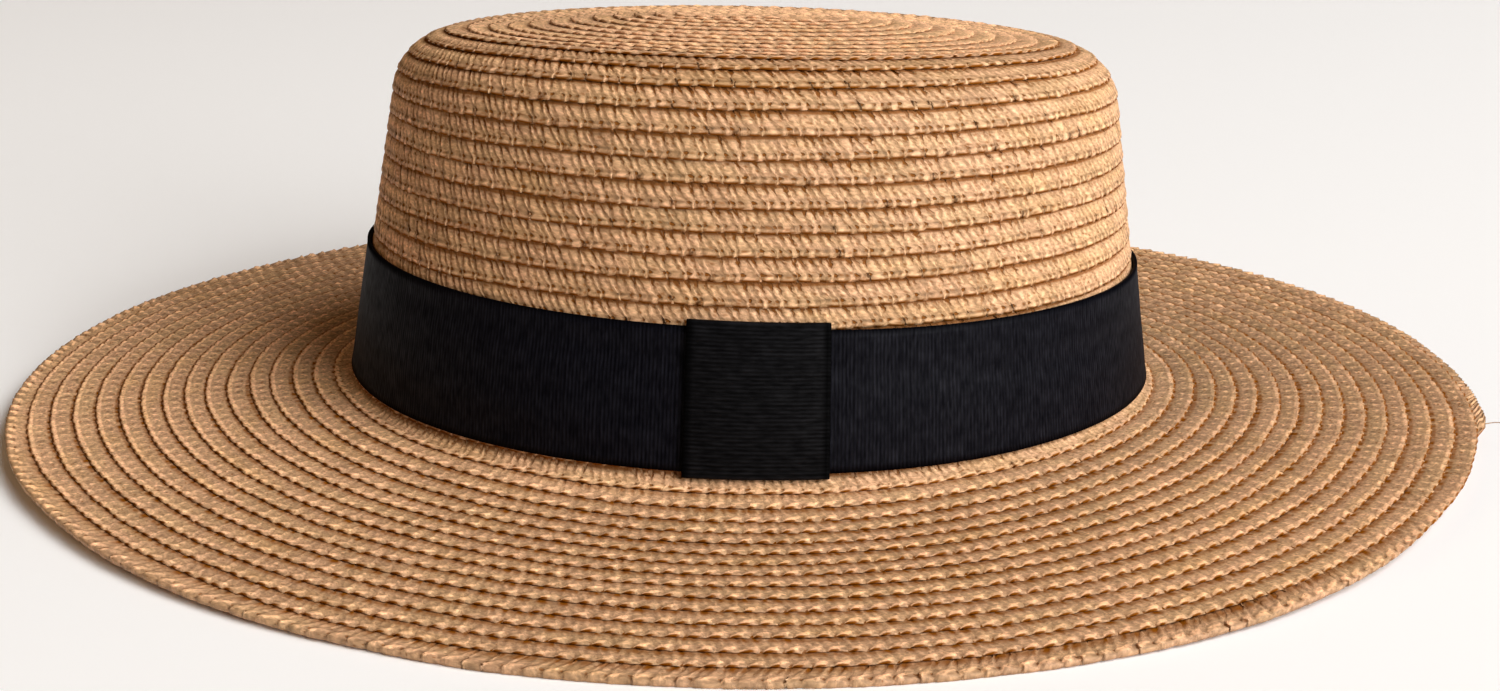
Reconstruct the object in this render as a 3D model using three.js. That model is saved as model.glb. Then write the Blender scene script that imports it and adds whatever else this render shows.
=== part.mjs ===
// A flat-topped straw hat (boater shape): an oval crown, a wide brim, a ribbon band and the band's keeper.
// Millimetres, +Z up. The hat rests on its brim at z = 0 and the origin is under the middle of the hat.
// +X runs along the hat's length, from the wearer's front (-X) to the back, and -Y is the side with the keeper.
import * as THREE from "three";

// Driving dimensions.
const HEAD_LENGTH = 196; // the head opening, front to back
const HEAD_WIDTH = 168; // the head opening, side to side: a head of 57 cm
const STRAW = 2; // wall of sewn, overlapping braid
const CROWN_HEIGHT = 86.3; // from the brim join to the rim of the flat top
const CROWN_TAPER_X = 12.8; // how far the crown's ends draw in from join to top
const CROWN_TAPER_Y = 15.2; // how far its sides draw in
const CORNER_RADIUS = 14.7; // rounding between the side and the flat top
const TOP_DOME = 3; // rise of the flat top at its middle
const TOP_SLOPE = 2.4; // how far the flat top's rim is up at -Y and down at +Y
const BRIM_WIDTH = 82; // from the crown's outer wall to the edge
const BRIM_DIP = 0.32; // how far its long sides dip below a straight slope, as a share of the slope's fall
const DIP_AT = 0.2; // where along the slope the dip is deepest
const REST_WIDTH = 5; // how much of the brim's edge lies flat where the hat rests
const JOIN_HEIGHT = 7.2; // top of the brim at the join, above the surface that the hat rests on
const JOIN_SADDLE = 0.8; // the join is up at both ends and down at the sides by this much
const JOIN_TILT = 0.8; // and up at +X and down at -X by this much
const EDGE_LIFT = 4.4; // how far the edge rises off the surface at the hat's two ends
const EDGE_REST = 0.3; // part of that lift which the hat's weight presses flat
const LEAN_BACK = THREE.MathUtils.degToRad(2); // the crown leans a little towards +Y
const LEAN_END = THREE.MathUtils.degToRad(1.1); // and a little towards +X
const RIBBON_WIDTH = 30.5; // grosgrain ribbon of the band and of its keeper
const BAND_TILT = 1.3; // the band's upper edge is down at +X and up at -X by this much
const RIBBON = 1; // ribbon thickness
const KEEPER_FOLD = 0.8; // ribbon at the keeper's folds, above and below the band
const KEEPER_X = 1.5; // the keeper's middle, along X
const GAP = 0.3; // clearance between neighbouring pieces

const ROUND = 64; // steps round the oval
const BAND_FOOT = GAP + KEEPER_FOLD + GAP; // the band's lower edge, above the crown's foot
const BASE_X = HEAD_LENGTH / 2 + STRAW;
const BASE_Y = HEAD_WIDTH / 2 + STRAW;

// The point of an oval whose outward normal has the angle phi, moved outwards by out.
// The oval is an ellipse with half-axes a and b, so that ovals with one out lie at one distance from it.
function oval(a, b, phi, out = 0) {
  const c = Math.cos(phi);
  const s = Math.sin(phi);
  const h = Math.hypot(a * c, b * s);
  return [(a * a * c) / h + out * c, (b * b * s) / h + out * s];
}

// Height of the crown's foot at phi, before the crown leans.
function footHeight(phi) {
  return JOIN_SADDLE * Math.cos(2 * phi) + JOIN_TILT * Math.cos(phi);
}

// Leans a point of the crown about the middle of its foot, and lifts it to the join's height.
function lean(x, y, z) {
  const y1 = y * Math.cos(LEAN_BACK) + z * Math.sin(LEAN_BACK);
  const z1 = z * Math.cos(LEAN_BACK) - y * Math.sin(LEAN_BACK);
  const x2 = x * Math.cos(LEAN_END) + z1 * Math.sin(LEAN_END);
  const z2 = z1 * Math.cos(LEAN_END) - x * Math.sin(LEAN_END);
  return new THREE.Vector3(x2, y1, z2 + JOIN_HEIGHT);
}

// A point on the crown's side at height z, out millimetres outside its outer wall, before the lean.
// The side draws in evenly, and corner (0 to 1) carries it round the rounded rim.
function crownSide(phi, z, out = 0, corner = 0) {
  const turn = (corner * Math.PI) / 2;
  const top = CROWN_HEIGHT - CORNER_RADIUS;
  const height = corner > 0 ? top + CORNER_RADIUS * Math.sin(turn) : z;
  const share = height / CROWN_HEIGHT;
  const inward = CORNER_RADIUS * (1 - Math.cos(turn));
  const a = BASE_X - CROWN_TAPER_X * share - inward;
  const b = BASE_Y - CROWN_TAPER_Y * share - inward;
  const wave = footHeight(phi) * (1 - share) - TOP_SLOPE * Math.sin(phi) * share;
  const [x, y] = oval(a, b, phi, out * Math.cos(turn));
  return lean(x, y, height + wave + out * Math.sin(turn));
}

// A point on the flat top: reach is 0 at its middle and 1 at the rim.
function crownTop(phi, reach, out = 0) {
  const a = (BASE_X - CROWN_TAPER_X - CORNER_RADIUS) * reach;
  const b = (BASE_Y - CROWN_TAPER_Y - CORNER_RADIUS) * reach;
  const rise = TOP_DOME * (0.5 + 0.5 * Math.cos(Math.PI * reach));
  const slope = TOP_SLOPE * Math.sin(phi) * reach;
  const [x, y] = reach > 0 ? oval(a, b, phi) : [0, 0];
  return lean(x, y, CROWN_HEIGHT + rise - slope + out);
}

// A curve over a run from 0 to 1: it leaves 0 steeply, is 1 where run is peak, and eases back to 0.
function hump(run, peak) {
  return (run / peak) * ((1 - run) / (1 - peak)) ** (1 / peak - 1);
}

// A point on the brim's upper face, out millimetres from the crown's outer wall, lowered by drop.
function brimPoint(phi, out, drop) {
  const [x, y] = oval(BASE_X, BASE_Y, phi, out);
  const [footX, footY] = oval(BASE_X, BASE_Y, phi, Math.min(out, 0));
  const join = lean(footX, footY, footHeight(phi) - GAP).z;
  const edge = STRAW + Math.max(0, EDGE_LIFT * Math.cos(phi) ** 2 - EDGE_REST);
  const run = THREE.MathUtils.clamp(out / (BRIM_WIDTH - REST_WIDTH), 0, 1);
  const fallen = run + BRIM_DIP * Math.sin(phi) ** 2 * hump(run, DIP_AT);
  return new THREE.Vector3(x, y, join + (edge - join) * fallen - drop);
}

// Joins rows of points into a mesh. Every row has the same number of points, and each point of a row
// is joined to the next one and to the same point of the next row. closedRows joins the last row to the first.
function skin(rows, closedRows, caps) {
  const count = rows[0].length;
  const points = rows.flat();
  const faces = [];
  const lastRow = closedRows ? rows.length : rows.length - 1;
  for (let i = 0; i < lastRow; i++) {
    for (let j = 0; j < count; j++) {
      const a = i * count + j;
      const b = i * count + ((j + 1) % count);
      const c = ((i + 1) % rows.length) * count + ((j + 1) % count);
      const d = ((i + 1) % rows.length) * count + j;
      faces.push(a, c, b, a, d, c);
    }
  }
  for (const [corner, first, flip] of caps) {
    if (corner.isVector3) {
      points.push(corner);
      for (let j = 0; j < count; j++) {
        const next = first + ((j + 1) % count);
        const pair = flip ? [first + j, next] : [next, first + j];
        faces.push(points.length - 1, ...pair);
      }
    } else {
      for (const [p, q, r] of corner) {
        faces.push(first + p, ...(flip ? [first + q, first + r] : [first + r, first + q]));
      }
    }
  }
  const geometry = new THREE.BufferGeometry().setFromPoints(points);
  geometry.setIndex(faces);
  geometry.computeVertexNormals();
  return geometry;
}

function around(pointAt) {
  return Array.from({ length: ROUND }, (_, i) => pointAt((2 * Math.PI * i) / ROUND));
}

// The crown: an outer skin and an inner one, joined at the foot and closed over the flat top.
function crownGeometry() {
  const levels = [0, 8, 20, 32, 48, 60, CROWN_HEIGHT - CORNER_RADIUS];
  const corners = [0.2, 0.4, 0.6, 0.8, 1];
  const reaches = [0.8, 0.55, 0.3];
  const half = (out) => [
    ...levels.map((z) => around((phi) => crownSide(phi, z, out))),
    ...corners.map((corner) => around((phi) => crownSide(phi, 0, out, corner))),
    ...reaches.map((reach) => around((phi) => crownTop(phi, reach, out))),
  ];
  const outer = half(0).reverse();
  const rows = [...outer, ...half(-STRAW)];
  const lastRow = (rows.length - 1) * ROUND;
  return skin(rows, false, [
    [crownTop(0, 0, 0), 0, true],
    [crownTop(0, 0, -STRAW), lastRow, false],
  ]);
}

// The brim: its upper face from the head hole to the edge and its lower face back again.
function brimGeometry() {
  const outs = [-STRAW, 0, 3, 7, 12, 18, 26, 38, 56, BRIM_WIDTH - REST_WIDTH, BRIM_WIDTH];
  const face = (drop) => outs.map((out) => around((phi) => brimPoint(phi, out, drop)));
  return skin([...face(0), ...face(STRAW).reverse()], true, []);
}

// Height above the crown's foot of a point of the band: step is 0 at its lower edge and 1 at its upper one.
function bandHeight(phi, step) {
  return BAND_FOOT + (RIBBON_WIDTH - BAND_TILT * Math.cos(phi)) * step;
}

// The band: the ribbon's outer face from its top edge down, and its inner one back up.
function bandGeometry() {
  const steps = [0, 1 / 3, 2 / 3, 1];
  const face = (out) => steps.map((step) => around((phi) => crownSide(phi, bandHeight(phi, step), out)));
  return skin([...face(GAP + RIBBON).reverse(), ...face(GAP)], true, []);
}

// The keeper: a loop of ribbon seen from outside as a flat patch, folded inwards over the band's two edges.
function keeperGeometry() {
  const inside = GAP + RIBBON + GAP;
  const outside = inside + RIBBON;
  const fold = GAP + KEEPER_FOLD;
  // Corners of the section: [distance outside the crown's wall, edge of the band (0 or 1), height from that edge].
  const section = [
    [GAP, 0, -fold],
    [outside, 0, -fold],
    [outside, 1, fold],
    [GAP, 1, fold],
    [GAP, 1, GAP],
    [inside, 1, GAP],
    [inside, 0, -GAP],
    [GAP, 0, -GAP],
  ];
  const steps = 8;
  const rows = [];
  for (let i = 0; i <= steps; i++) {
    const along = (i / steps - 0.5) * RIBBON_WIDTH + KEEPER_X;
    const phi = -Math.PI / 2 + along / (BASE_X ** 2 / BASE_Y);
    rows.push(section.map(([out, step, rise]) => crownSide(phi, bandHeight(phi, step) + rise, out)));
  }
  const flat = section.map(([out, step, rise]) => new THREE.Vector2(out, RIBBON_WIDTH * step + rise));
  const triangles = THREE.ShapeUtils.triangulateShape(flat, []);
  return skin(rows, false, [
    [triangles, 0, true],
    [triangles, steps * section.length, false],
  ]);
}

function material(color, roughness) {
  return new THREE.MeshStandardMaterial({ color, roughness, metalness: 0 });
}

function piece(name, geometry, look) {
  const mesh = new THREE.Mesh(geometry, look);
  mesh.name = name;
  return mesh;
}

const hat = new THREE.Group();
hat.add(piece("crown", crownGeometry(), material("#b98a5c", 0.75)));
hat.add(piece("brim", brimGeometry(), material("#b98a5c", 0.75)));
hat.add(piece("band", bandGeometry(), material("#14151b", 0.85)));
hat.add(piece("band_keeper", keeperGeometry(), material("#101116", 0.85)));

export default hat;
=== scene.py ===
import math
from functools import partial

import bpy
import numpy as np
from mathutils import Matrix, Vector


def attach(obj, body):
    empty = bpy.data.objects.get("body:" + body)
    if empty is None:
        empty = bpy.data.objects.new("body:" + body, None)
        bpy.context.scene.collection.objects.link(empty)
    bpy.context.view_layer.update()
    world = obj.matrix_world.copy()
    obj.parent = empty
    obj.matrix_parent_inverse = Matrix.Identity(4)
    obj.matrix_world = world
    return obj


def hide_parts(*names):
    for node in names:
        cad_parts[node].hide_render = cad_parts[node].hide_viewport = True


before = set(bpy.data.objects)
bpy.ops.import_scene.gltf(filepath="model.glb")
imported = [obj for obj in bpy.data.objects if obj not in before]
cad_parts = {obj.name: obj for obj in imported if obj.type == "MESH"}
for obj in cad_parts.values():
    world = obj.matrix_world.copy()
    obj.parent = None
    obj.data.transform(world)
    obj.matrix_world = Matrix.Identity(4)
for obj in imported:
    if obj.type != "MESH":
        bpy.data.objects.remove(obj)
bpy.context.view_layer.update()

# A straw boater: one long paper braid sewn in a spiral from the middle of the tip to the edge of the brim,
# a grosgrain band round the foot of the crown, and the ribbon keeper that covers the band's join.
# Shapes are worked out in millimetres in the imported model's frame and become metres in the meshes.
#   phi: direction of the oval's outward normal, 0 at the back of the head (+X), -90 degrees at the keeper.
#   s:   way along the straw from the middle of the tip, over the rim, down the side and out over the brim.
#   u:   way along the braid, from its start in the middle of the tip.
#   v:   way across the braid, 0 at its inner edge.

MM = 0.001
TURN = 2 * math.pi
FRONT = -math.pi / 2  # phi of the keeper

# The hat's form, as in the part's source.
STRAW = 2.0  # wall of sewn braid
BASE_X, BASE_Y = 100.0, 86.0  # half-axes of the crown's foot
CROWN_HEIGHT = 86.3
TAPER_X, TAPER_Y = 12.8, 15.2  # how far the crown draws in from foot to tip
CORNER = 14.7  # rounding between side and tip
TIP_DOME = 3.0  # rise of the tip at its middle
TIP_SLOPE = 2.4  # how far the tip's rim is up on the keeper's side and down on the other
BRIM_WIDTH = 82.0
BRIM_DIP = 0.32  # how far the brim's long sides dip below an even slope, as a share of the slope's fall
DIP_AT = 0.2  # where along the slope the dip is deepest
REST_WIDTH = 5.0  # how much of the brim's edge lies flat
JOIN_HEIGHT = 7.2  # top of the brim at the join
JOIN_SADDLE = 0.8  # the join is up at both ends and down at the sides by this much
JOIN_TILT = 0.8  # and up at +X and down at -X by this much
EDGE_LIFT = 4.4  # how far the brim's edge rises at the hat's two ends
EDGE_REST = 0.3  # part of that lift which the hat's weight presses flat
LEAN_BACK, LEAN_END = math.radians(2.0), math.radians(1.1)  # the crown leans towards +Y and towards +X
RIBBON_WIDTH = 30.5  # the band's ribbon
BAND_FOOT = 1.4  # the band's lower edge, above the crown's foot
BAND_TILT = 1.3  # the band's upper edge is down at +X and up at -X by this much
KEEPER_X = 1.5  # the keeper's middle, along X

# Where the sewn straw differs a little from that form.
END_DROP = 1.2  # how much lower the tip's rim is at the hat's two ends
END_WIDER = 0.0195  # the brim is this much wider at the hat's two ends, as a share of its width,
END_SKEW = 0.0155  # and this much more at the front of the head and less at its back
UNEVEN = ((2.65, -0.04), (-0.95, 0.016), (0.55, -0.01))  # phi where it is wider or narrower, and the share
UNEVEN_SPREAD = 0.16  # how far such a place spreads round the brim
BRIM_SINK = 0.3  # how far the brim's edge lies lower, as the braid is thinner than the solid
JOIN_SOFT = 3.0  # the straw turns from side to brim over this much of s, each way

# The same form along s.
RIM_S = BASE_Y - TAPER_Y - CORNER  # where the tip meets the corner
CORNER_S = RIM_S + CORNER * math.pi / 2
SIDE_HEIGHT = CROWN_HEIGHT - CORNER
JOIN_S = CORNER_S + SIDE_HEIGHT * math.hypot(1, (TAPER_X + TAPER_Y) / 2 / CROWN_HEIGHT)
EDGE_S = JOIN_S + BRIM_WIDTH
CORE = (BASE_X - TAPER_X) - (BASE_Y - TAPER_Y)  # half the length of the braid's first straight run
CORE_TURN = 0.25  # how gently the braid turns at the ends of that run: 0 is a corner
CORE_OVER = 0.6  # how far the first run crosses the middle, to close most of the slit between its sides
BESIDE_CORE = 0.3  # directions and lengths are taken no nearer to the middle than this
NEAR_S, NEAR_PHI = 0.25, 0.004  # steps to either side over which the straw's slope is measured
TIP_TO_SIDE = (RIM_S - 4, RIM_S + 8)  # over this much of s the plait changes from the tip's to the side's,
SIDE_TO_BRIM = (JOIN_S - 2, JOIN_S + 8)  # and over this much to the brim's

# The braid.
PITCH = 5.11  # from one row's edge to the next
BRAID_WIDTH = 6.7
BRAID = 0.9  # its thickness
STRAND = 2.05  # spacing of the plait's strands along the braid, and of the slots between them
STEP = STRAND / 3  # sections of the mesh: a slot, a strand's low side, its high side
# Three curves over v: how far along the braid a slot has moved, how deep an open one is, and how far a strand
# slopes up and down from its middle.
SLOT_PATH = ((0.0, 4.1, 5.15, 6.7), (0.0, -2.34, -3.1, -3.1))
SLOT_DEPTH = ((2.0, 3.45, 4.6, 5.15, 5.85, 6.5), (0.6, 0.6, 0.35, 0.4, 0.25, 0.25))
STRAND_SLOPE = ((1.5, 2.1, 3.0, 4.2, 5.2), (0.0, 0.16, 0.22, 0.08, 0.0))
MIDDLE_V = 3.3  # slots lean about this place,
FAN = 0.13  # each second slot leans this much more than the path, and the others this much less,
ASKEW, ASTRAY = 0.4, 1.0  # and at random they lean and move along the braid by up to half of this, each way
EYE_FROM = 4.7  # from here on across the braid, a slot is shut or has a small eye
EYE_V = 5.15  # with its middle here
EDGE_CUT, EDGE_FULL = 0.105, 0.021  # the edge is cut back at an open slot and stands out between slots,
EDGE_FAN = 0.056  # is cut back this much more at each second slot and less at the others,
EDGE_STRAY = (0.12, 2.9, 9)  # and strays this far over this length, with this seed
# The edge stands up and sinks in loops, one to every second strand.
LOOP, LOOP_MORE = 0.104, 0.286  # how far at least, and how much more at random
LOOP_V, LOOP_SLANT = 5.6, 1.2  # v of a loop's crest, and its slant: radians of its wave to a millimetre
LOOP_LOW = (0.8, 0.4)  # by what share loops are lower on the side, and at the brim's two ends
LOOP_REACH = ((4.6, 5.4), (0.0, 1.0))  # curve over v: how much of a loop's height there is across a row,
END_REACH = ((2.0, 3.0), (0.0, 1.0))  # and at the brim's two ends
EDGE_FROM, SIDE_LOW = 5.3, 0.7  # from here on across it the plait is all open, but on the side so much lower
WANDER = ((0.28, 31.0, 1), (0.1, 7.0, 2))  # how far a row strays from its course, over what length, seed
EDGE_THICK = 2.7  # the last row is doubled, and so much thicker
EDGE_WIDER = 0.2  # and this much wider
EDGE_TURN = 0.45  # the upper face's pattern goes on round the edge as far as this
SIDE_PRESS, FLAT_PRESS = 0.65, 0.42  # how high the steps between rows are: tip and brim are pressed flatter
FLAT_LEAN = 0.35  # on tip and brim the plait leans this much of what it does on the side,
LAST_LEAN = -0.9  # and on the last row it leans the other way
FLAT_OPEN, LAST_OPEN = 0.3, 0.8  # how open the plait is on tip and brim, and what share more on the last row
LIT_SIDE_SHUT = 0.75  # how far the plait is shut where the light meets the side squarely
LAST_LOW = 0.4  # the last row rises less towards its edge, by this share
END_PHI = math.radians(-23.0)  # where the braid's end lies
END_PAST = 3.1  # s of the braid's course at its end, past the brim's edge
END_RUN = 70.0  # over this last stretch the sections turn aslant the other way,
END_SLANT = 4.0  # cut back by this much of the braid's length for each millimetre across it,
END_RAG = 3.0  # and the cut is ragged by this much
END_OUT = 0.8  # how far the end sticks out,
END_OUT_EASE = (-0.09, -0.027)  # turns before the end over which it comes to do so
LAST_EASE = (-1.0, -0.85)  # turns before the end over which the last row is drawn in to the hat's edge
FLAT_EASE = (-1.0, -0.9)  # and over which it comes to lie flat, with no row below it
FIRST_LIP = 2.6  # s of the braid's outer edge at its start
FIRST_SECTION = 5  # the first section whose corners all lie past the braid's start

# Painted light and shade over the straw, in shares of its lightness.
LIT_SIDE, LIT_SIDE_PHI, LIT_SIDE_SPREAD = 0.9, -0.35, 0.25  # painted highlight: the side is paler, and its plait shut, where the light meets it squarely: how much, where and how far
TIP_SHADE, TIP_ENDS = 0.25, 0.45  # painted light on the tip towards the back of the head, on the lit side, and painted shade at both its ends
BRIM_SHADE = 0.58  # painted shade darkens the brim towards the back of the head,
BRIM_PALE, BRIM_PALE_PHI = 0.45, -0.8  # painted light between keeper and back, and painted shade across from there, where the crown's shadow falls
FOOT_PALE, FOOT_PALE_AT, FOOT_PALE_WIDE = 0.7, 4.5, 3.0  # and a painted highlight in a ring beside the band

# The loose thread.
THREAD_LENGTH = 10.0
THREAD_RADIUS = 0.13

# The ribbon.
CORD = 0.87  # spacing of the ribbon's weft cords
CORD_STEPS = 3  # steps of the mesh to a cord
CORD_HEIGHT = 0.16
SELVEDGE, SELVEDGE_END = 13.9, 15.0  # from the ribbon's middle to where its painted edge shade begins, and is darkest
RIBBON = 0.6  # its thickness
RIBBON_INNER = 0.35  # the band's inner face, off the straw's outer face
BAND_MIDDLE = 15.0  # height of the band's middle above the crown's foot
WAY_BACK = 500.0  # added to places along the band, so that they are above 0 all the way round
FOLDS = ((-55, 1.0), (60, 0.5))  # places along the band where it is most folded, and how much
FOLDS_WIDE, WRINKLES_WIDE = 60, 22  # how far the folds go on from there, and the wrinkles from the keeper
KEEPER_WIDTH = 31.8
KEEPER_FOLD = 1.1  # from the band's edges to the outer side of the keeper's folds
KEEPER_GAP = 0.35  # between band and keeper
KEEPER_BACK = 0.5  # the middle of the strip's ends, off the straw
BACK_EVERY = 6  # the strip's hidden face has a corner to every so many of its front


def linear(colour):
    """The linear values of an sRGB hex colour, with an alpha of 1."""
    srgb = np.array([int(colour[i : i + 2], 16) for i in (1, 3, 5)]) / 255
    value = np.where(srgb <= 0.04045, srgb / 12.92, ((srgb + 0.055) / 1.055) ** 2.4)
    return (*value.tolist(), 1.0)


def ease(low, high, x):
    """0 below low, 1 above high, and a smooth S between them: 3t^2 - 2t^3."""
    t = np.clip((x - low) / (high - low), 0, 1)
    return t * t * (3 - 2 * t)


def bell(x, width):
    """A bump that is 1 at x = 0 and falls off to either side over about width: exp(-(x / width)^2)."""
    return np.exp(-((x / width) ** 2))


def towards(phi, place, spread):
    """A bump round the hat that is 1 where phi is place: exp((cos(phi - place) - 1) / spread)."""
    return np.exp((np.cos(phi - place) - 1) / spread)


def drift(at, every, seed):
    """A wandering value from -1 to 1: random values every so many millimetres, joined by smooth curves."""
    knots = np.random.default_rng(seed).uniform(-1, 1, int(np.max(at) / every) + 3)
    cell = np.floor(at / every).astype(int)
    part = at / every - cell
    part = part * part * (3 - 2 * part)
    return knots[cell] * (1 - part) + knots[cell + 1] * part


def one_each(cell, seed):
    """A random number from 0 to 1 for each whole number in cell, the same every time."""
    numbers = np.random.default_rng(seed).uniform(0, 1, 4096)
    return numbers[cell.astype(int) % len(numbers)]


def travelled(points):
    """How far each of a row of points lies along the line through them all."""
    return np.concatenate([[0], np.cumsum(np.linalg.norm(np.diff(points, axis=0), axis=1))])


def oval(a, b, phi):
    """The point of the ellipse x^2/a^2 + y^2/b^2 = 1 whose outward normal points along phi."""
    c, s = np.cos(phi), np.sin(phi)
    reach = np.sqrt((a * c) ** 2 + (b * s) ** 2)
    return a * a * c / reach, b * b * s / reach


def foot_height(phi):
    """How far the join rises at both ends and at the back, before the crown leans."""
    return JOIN_SADDLE * np.cos(2 * phi) + JOIN_TILT * np.cos(phi)


def leaned(x, y, z):
    """The crown's point turned by LEAN_BACK about X and by LEAN_END about Y, then lifted to the join."""
    y1 = y * math.cos(LEAN_BACK) + z * math.sin(LEAN_BACK)
    z1 = z * math.cos(LEAN_BACK) - y * math.sin(LEAN_BACK)
    x2 = x * math.cos(LEAN_END) + z1 * math.sin(LEAN_END)
    z2 = z1 * math.cos(LEAN_END) - x * math.sin(LEAN_END)
    return np.stack([x2, y1, z2 + JOIN_HEIGHT], -1)


def end_drop(phi, s):
    """How far the rim lies low at the hat's two ends: most where tip and corner meet, none further off."""
    return END_DROP * np.cos(phi) ** 2 * ease(RIM_S / 3, RIM_S, s) * (1 - ease(RIM_S, CORNER_S, s))


def tip_point(phi, s):
    """A point of the flat tip: ovals that shrink to a straight core, on a shallow cosine dome."""
    reach = np.clip(s / RIM_S, 0, 1)
    x_oval, y_oval = oval(CORE + s, s, phi)
    x_core = s * np.cos(phi) + CORE * np.tanh(np.cos(phi) / CORE_TURN)
    x = reach * x_oval + (1 - reach) * x_core
    y = reach * y_oval + (1 - reach) * s * np.sin(phi)
    dome = TIP_DOME * (0.5 + 0.5 * np.cos(math.pi * reach))
    return leaned(x, y, CROWN_HEIGHT + dome - TIP_SLOPE * np.sin(phi) * reach - end_drop(phi, s))


def side_point(phi, s):
    """A point of the corner, a quarter round, or of the side below it, which widens evenly to the foot."""
    turn = (1 - np.clip((s - RIM_S) / (CORNER_S - RIM_S), 0, 1)) * math.pi / 2
    down = np.clip((s - CORNER_S) / (JOIN_S - CORNER_S), 0, 1)
    height = np.where(s < CORNER_S, SIDE_HEIGHT + CORNER * np.sin(turn), SIDE_HEIGHT * (1 - down))
    share = height / CROWN_HEIGHT
    inward = CORNER * (1 - np.cos(turn))
    x, y = oval(BASE_X - TAPER_X * share - inward, BASE_Y - TAPER_Y * share - inward, phi)
    tilt = foot_height(phi) * (1 - share) - TIP_SLOPE * np.sin(phi) * share
    return leaned(x, y, height + tilt - end_drop(phi, s))


def brim_point(phi, out):
    """A point of the brim's upper face: it falls from join to edge, sooner along the two long sides, and is
    stretched by the shares that make the brim's outline uneven."""
    x, y = oval(BASE_X, BASE_Y, phi)
    join = leaned(x, y, foot_height(phi))[..., 2]
    edge = STRAW + np.maximum(0, EDGE_LIFT * np.cos(phi) ** 2 - EDGE_REST)
    wider = 1 + (END_WIDER - END_SKEW * np.cos(phi)) * np.cos(phi) ** 2
    for place, share in UNEVEN:
        wider = wider + share * towards(phi, place, UNEVEN_SPREAD)
    run = np.clip(out / (BRIM_WIDTH - REST_WIDTH), 0, 1)
    hump = (run / DIP_AT) * ((1 - run) / (1 - DIP_AT)) ** (1 / DIP_AT - 1)
    fallen = run + BRIM_DIP * np.sin(phi) ** 2 * hump
    z = join + (edge - join) * fallen - BRIM_SINK * ease(0, BRIM_WIDTH, out)
    return np.stack([x + out * wider * np.cos(phi), y + out * wider * np.sin(phi), z], -1)


def hat_point(phi, s):
    """A point of the straw's outer face. Side and brim are added so that they meet in a parabola, not a
    crease: over JOIN_SOFT either way, what is left of the side is (w - d)^2 / 4w and what has come of the
    brim (w + d)^2 / 4w."""
    phi, s = np.broadcast_arrays(phi, s)
    w = JOIN_SOFT
    d = s - JOIN_S
    near = np.clip(d, -w, w)
    left = np.where(d < -w, d, -((w - near) ** 2) / (4 * w))
    come = np.where(d > w, d, (w + near) ** 2 / (4 * w))
    side = side_point(phi, JOIN_S + left)
    skirt = brim_point(phi, come) - brim_point(phi, np.zeros_like(phi))
    return np.where((s < RIM_S)[..., None], tip_point(phi, s), side + skirt)


def outward(surface, phi, s):
    """The outward normal of a surface at phi and s: the cross product of the ways along s and along phi."""
    along = surface(phi, s + NEAR_S) - surface(phi, s - NEAR_S)
    round_ = surface(phi + NEAR_PHI, s) - surface(phi - NEAR_PHI, s)
    normal = np.cross(along, round_)
    return normal / np.linalg.norm(normal, axis=-1, keepdims=True)


def hat_frame(phi, s):
    """The straw's point at phi and s, and its outward normal there. Rows may cross the middle of the tip by
    CORE_OVER, with the normal from just beside it."""
    return hat_point(phi, np.maximum(s, -CORE_OVER)), outward(hat_point, phi, np.maximum(s, BESIDE_CORE))


def braid_lip(theta, whole):
    """s of the braid's outer edge after it has turned by theta: an even spiral, whose last turn is drawn in
    to the hat's edge, and whose end sticks out."""
    even = FIRST_LIP + PITCH * theta / TURN
    turn = (theta - whole) / TURN
    return even + (EDGE_S - even) * ease(*LAST_EASE, turn) + END_OUT * ease(*END_OUT_EASE, turn)


def braid_course():
    """The braid's course at every STEP of its length: its direction phi, the s of its outer edge, and how
    flat it lies, from 0 on the row below it to 1 in the last turn, which has none below."""
    turns = (EDGE_S + END_PAST - FIRST_LIP) / PITCH
    whole = turns * TURN
    theta = np.linspace(0, whole, int(turns * 720))
    middle_s = np.maximum(braid_lip(theta, whole) - BRAID_WIDTH / 2, BESIDE_CORE)
    length = travelled(hat_point(END_PHI + whole - theta, middle_s))
    u = np.arange(0, length[-1], STEP)
    theta = np.interp(u, length, theta)
    flat = ease(*FLAT_EASE, (theta - whole) / TURN)
    return u, END_PHI + whole - theta, braid_lip(theta, whole), flat


# Stations across the braid: v on its upper face, and how high the plait lies there. Then the same on its
# lower face, on the way back.
UPPER_V = np.array([0.0, 1.5, 2.1, 2.75, 3.45, 4.15, 5.15, 5.85, 6.5])
UPPER_LIFT = np.array([-0.15, -0.15, -0.06, 0.06, 0.14, 0.12, 0.02, 0.12, -0.2])
LOWER_V = np.array([6.35, 3.3, 0.1])
LOWER_LIFT = np.array([-0.86, -0.78, -0.86])


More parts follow.
